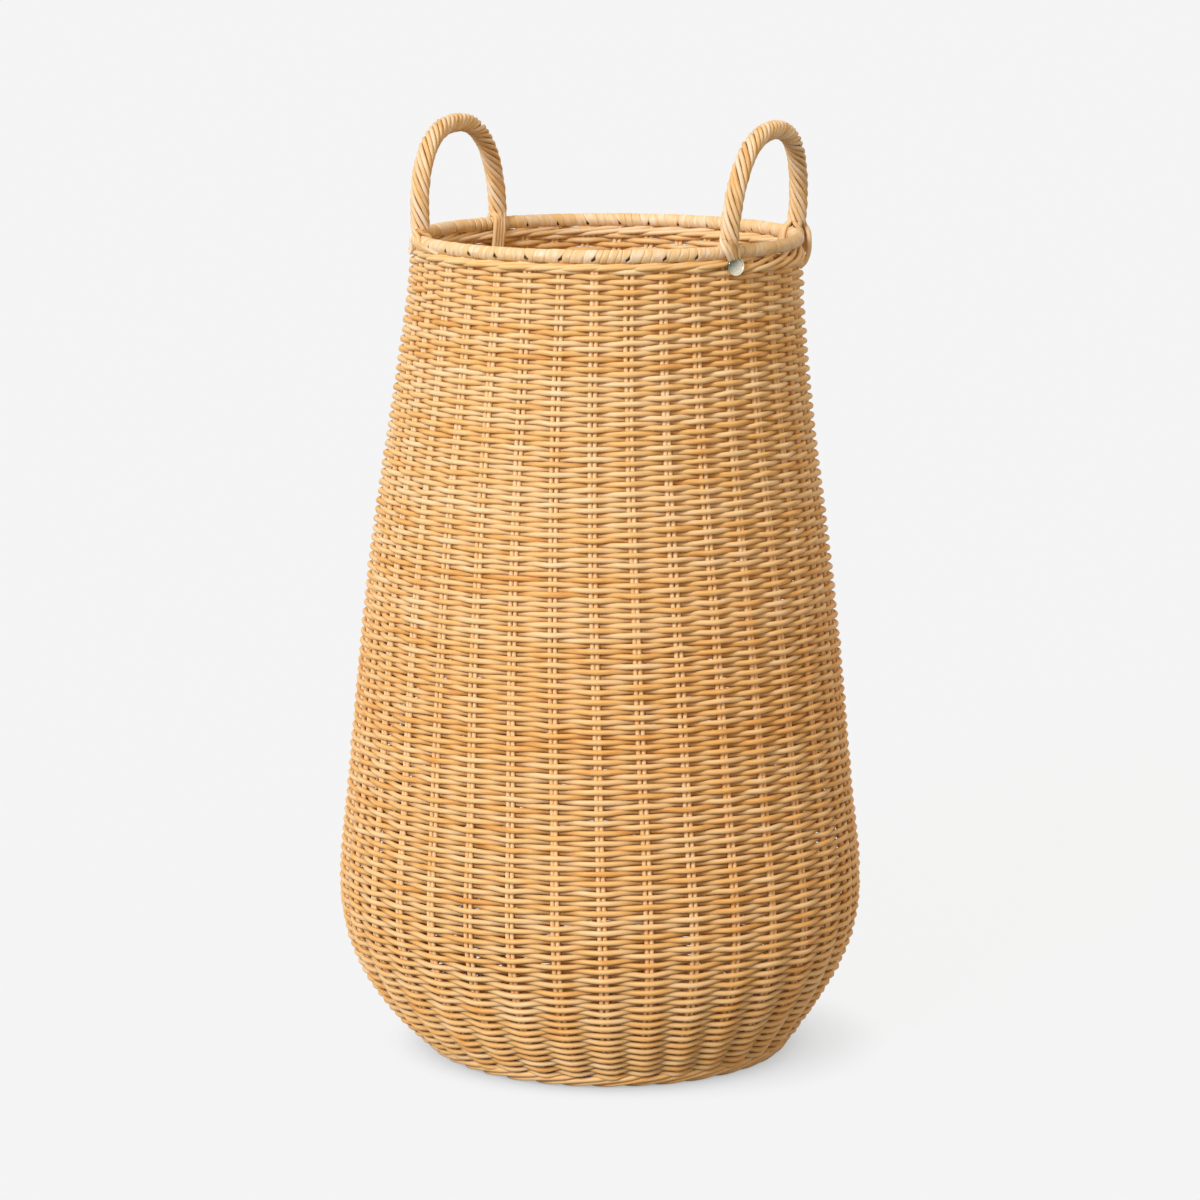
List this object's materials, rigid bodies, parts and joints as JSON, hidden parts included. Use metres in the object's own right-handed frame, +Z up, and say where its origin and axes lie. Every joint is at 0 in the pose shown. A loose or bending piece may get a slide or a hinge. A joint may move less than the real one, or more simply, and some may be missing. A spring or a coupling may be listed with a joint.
{
  "type": "belly basket",
  "caption": "Tall pear-shaped rattan basket with a wide belly, a narrower open mouth, a cane-bound rim and rope-twisted handles standing on opposite sides of it.",
  "frame": {"origin": "on the floor, below the middle of the belly", "axes": "+Z up through the open mouth; the handles stand over +X and -X"},
  "size_m": [0.4, 0.4, 0.7079],
  "materials": {
    "rattan_weave": "round rattan core, satin, natural light tan",
    "rattan_stake": "round rattan core, satin, a little paler than the weave",
    "rattan_border": "round rattan core, satin",
    "rattan_hoop": "thick rattan rod, plain",
    "rattan_binding": "split cane, smooth satin",
    "rattan_handle": "round rattan core, smooth satin",
    "brass": "pale polished brass, unmarked"
  },
  "bodies": {
    "root": {"foot_border": "rattan_border", "base_weave": "rattan_weave", "base_sticks_under": "rattan_stake", "base_sticks_over": "rattan_stake", "upsett_weave": "rattan_weave", "lower_weave": "rattan_weave", "belly_weave": "rattan_weave", "middle_weave": "rattan_weave", "upper_weave": "rattan_weave", "stake_01": "rattan_stake", "stake_02": "rattan_stake", "stake_03": "rattan_stake", "stake_04": "rattan_stake", "stake_05": "rattan_stake", "stake_06": "rattan_stake", "stake_07": "rattan_stake", "stake_08": "rattan_stake", "stake_09": "rattan_stake", "stake_10": "rattan_stake", "stake_11": "rattan_stake", "stake_12": "rattan_stake", "stake_13": "rattan_stake", "stake_14": "rattan_stake", "stake_15": "rattan_stake", "stake_16": "rattan_stake", "stake_17": "rattan_stake", "stake_18": "rattan_stake", "stake_19": "rattan_stake", "stake_20": "rattan_stake", "stake_21": "rattan_stake", "stake_22": "rattan_stake", "stake_23": "rattan_stake", "stake_24": "rattan_stake", "stake_25": "rattan_stake", "stake_26": "rattan_stake", "stake_27": "rattan_stake", "stake_28": "rattan_stake", "stake_29": "rattan_stake", "stake_30": "rattan_stake", "stake_31": "rattan_stake", "stake_32": "rattan_stake", "stake_33": "rattan_stake", "stake_34": "rattan_stake", "stake_35": "rattan_stake", "stake_36": "rattan_stake", "top_border_outside": "rattan_border", "top_border_inside": "rattan_border", "rim_hoop": "rattan_hoop", "rim_binding": "rattan_binding", "right_handle_core": "rattan_hoop", "right_handle_strands": "rattan_handle", "left_handle_core": "rattan_hoop", "left_handle_strands": "rattan_handle", "right_handle_front_ends": "rattan_handle", "right_handle_back_ends": "rattan_handle", "left_handle_front_ends": "rattan_handle", "left_handle_back_ends": "rattan_handle", "tag_stud": "brass", "tag_washer": "brass"}
  },
  "joints": []
}
